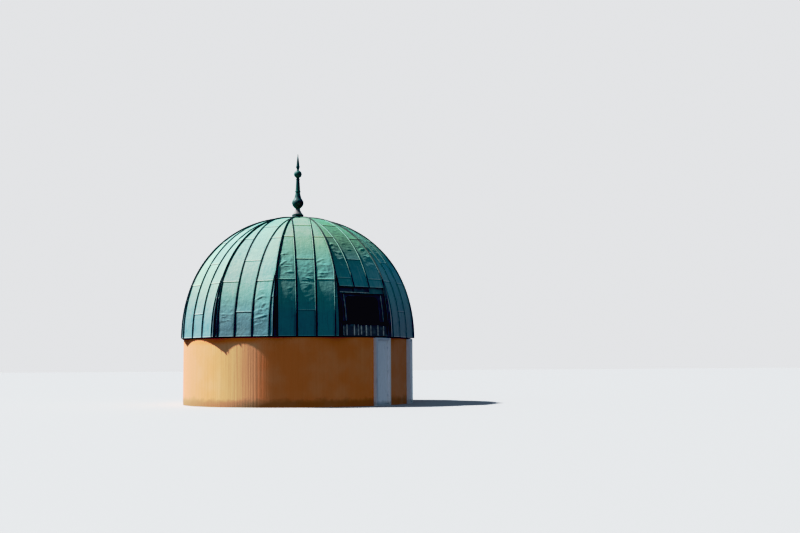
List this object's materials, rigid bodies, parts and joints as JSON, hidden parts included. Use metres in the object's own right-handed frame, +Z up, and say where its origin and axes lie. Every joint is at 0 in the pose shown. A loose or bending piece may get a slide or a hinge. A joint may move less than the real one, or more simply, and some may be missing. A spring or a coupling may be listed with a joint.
{
  "type": "observatory dome",
  "caption": "Many-sided copper-clad observatory dome with an open viewing hatch and a finial, turning on a round rendered drum with narrow doors in projecting white casings.",
  "frame": {"origin": "on the ground under the dome's axis, the middle of the base", "axes": "+Z up along the dome's axis; -Y is the front, towards the picture's camera; +X to the picture's right"},
  "size_m": [7.9566, 7.9566, 8.653],
  "materials": {
    "patina_copper": "weathered green copper, matt",
    "dark_copper": "dark weathered copper",
    "render": "ochre orange lime render",
    "white_paint": "white painted boards",
    "timber": "dark weathered timber",
    "concrete": "trowelled floor"
  },
  "bodies": {
    "drum": {"wall_between_doors": "render", "wall_segment_1": "render", "wall_segment_2": "render", "wall_segment_3": "render", "wall_segment_4": "render", "wall_segment_5": "render", "wall_segment_6": "render", "wall_segment_7": "render", "wall_segment_8": "render", "wall_plate_1": "timber", "wall_plate_2": "timber", "wall_plate_3": "timber", "wall_plate_4": "timber", "floor": "concrete", "casing_left": "white_paint", "casing_right": "white_paint"},
    "dome": {"gore_01": "patina_copper", "gore_03": "patina_copper", "gore_04": "patina_copper", "gore_05": "patina_copper", "gore_06": "patina_copper", "gore_07": "patina_copper", "gore_08": "patina_copper", "gore_09": "patina_copper", "gore_10": "patina_copper", "gore_11": "patina_copper", "gore_12": "patina_copper", "gore_over_hatch": "patina_copper", "hatch_strip_left": "patina_copper", "hatch_strip_right": "patina_copper", "hatch_header": "dark_copper", "hatch_apron": "dark_copper", "hatch_sill": "timber", "hatch_jamb_left": "dark_copper", "hatch_jamb_right": "dark_copper", "sole_ring": "timber", "finial_base": "dark_copper", "finial_bulb": "dark_copper", "finial_shaft": "dark_copper", "finial_ball": "dark_copper", "finial_spike": "dark_copper"},
    "left_door": {"door_left": "white_paint"},
    "right_door": {"door_right": "white_paint"}
  },
  "joints": [
    {"name": "dome_turn", "type": "hinge", "parent": "drum", "child": "dome", "pos_m": [0, 0, 2.24], "axis": [0, 0, 1], "continuous": true},
    {"name": "left_door_hinge", "type": "hinge", "parent": "drum", "child": "left_door", "pos_m": [2.90467, -2.60354, 1], "axis": [0, 0, 1], "range_deg": [0, 90]},
    {"name": "right_door_hinge", "type": "hinge", "parent": "drum", "child": "right_door", "pos_m": [3.73365, -1.12933, 1], "axis": [0, 0, -1], "range_deg": [0, 90]}
  ]
}
